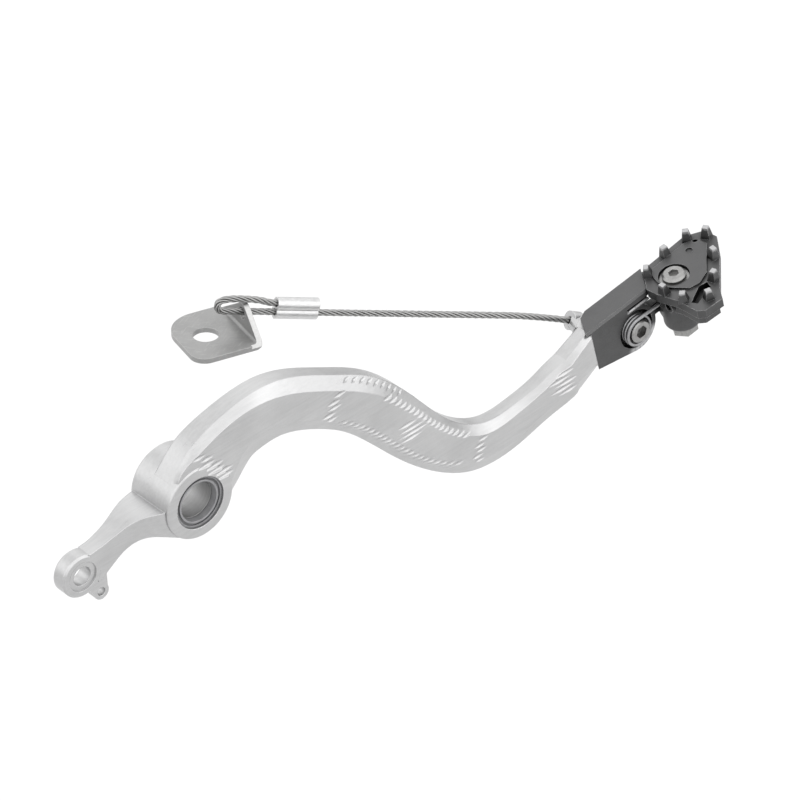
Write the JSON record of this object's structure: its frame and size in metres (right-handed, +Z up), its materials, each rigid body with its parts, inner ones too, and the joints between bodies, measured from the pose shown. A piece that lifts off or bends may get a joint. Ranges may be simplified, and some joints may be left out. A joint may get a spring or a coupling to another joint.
{
  "type": "rear brake pedal",
  "caption": "S-shaped machined foot pedal with a pivot boss, a rear lever eye, a sprung folding toothed toe tip and a steel safety cable that ends in a bolt-on bracket.",
  "frame": {"origin": "on the pivot axis, at the middle of the pivot boss", "axes": "+X forward from the pivot to the toe tip, +Y inboard along the pivot axis, +Z up, in the attitude the pedal has on the machine"},
  "size_m": [0.3291, 0.1129, 0.0829],
  "materials": {
    "arm_alloy": "machined and bead blasted, satin silver",
    "dark_alloy": "matt dark grey anodised, bright where worn",
    "fastener_steel": "zinc plated",
    "bearing_steel": "plain bearing sleeve with a dull grey lining",
    "spring_steel": "bright drawn wire",
    "seal_rubber": "matt grey rubber",
    "cable_steel": "bright stranded wire",
    "ferrule_alloy": "pressed, satin",
    "bracket_steel": "tumbled sheet, satin"
  },
  "bodies": {
    "pedal": {"pedal_arm": "arm_alloy", "pivot_bush": "bearing_steel", "outer_seal_ring": "seal_rubber", "inner_seal_ring": "seal_rubber", "tip_base": "dark_alloy", "tip_base_screws": "fastener_steel", "fold_bolt": "fastener_steel", "fold_bush": "bearing_steel", "fold_nut": "fastener_steel", "fold_spring": "spring_steel", "safety_cable": "cable_steel", "cable_stop": "cable_steel", "cable_ferrule": "ferrule_alloy"},
    "tip": {"tip_carrier": "dark_alloy", "toe_plate": "dark_alloy", "toe_screw": "fastener_steel", "toe_washer": "fastener_steel", "toe_nut": "fastener_steel"},
    "bracket": {"cable_bracket": "bracket_steel"}
  },
  "joints": [
    {"name": "tip_fold", "type": "hinge", "parent": "pedal", "child": "tip", "pos_m": [0.226, 0, -0.0166], "axis": [0, -1, 0], "range_deg": [0, 40], "stiffness_Nm_per_rad": 0.25, "springref_deg": -60.16, "deforming": ["fold_spring"]},
    {"name": "bracket_swing", "type": "hinge", "parent": "pedal", "child": "bracket", "pos_m": [0.07364, 0.05345, 0.02326], "axis": [0.9409, -0.3387, 0], "range_deg": [-40, 40]}
  ]
}
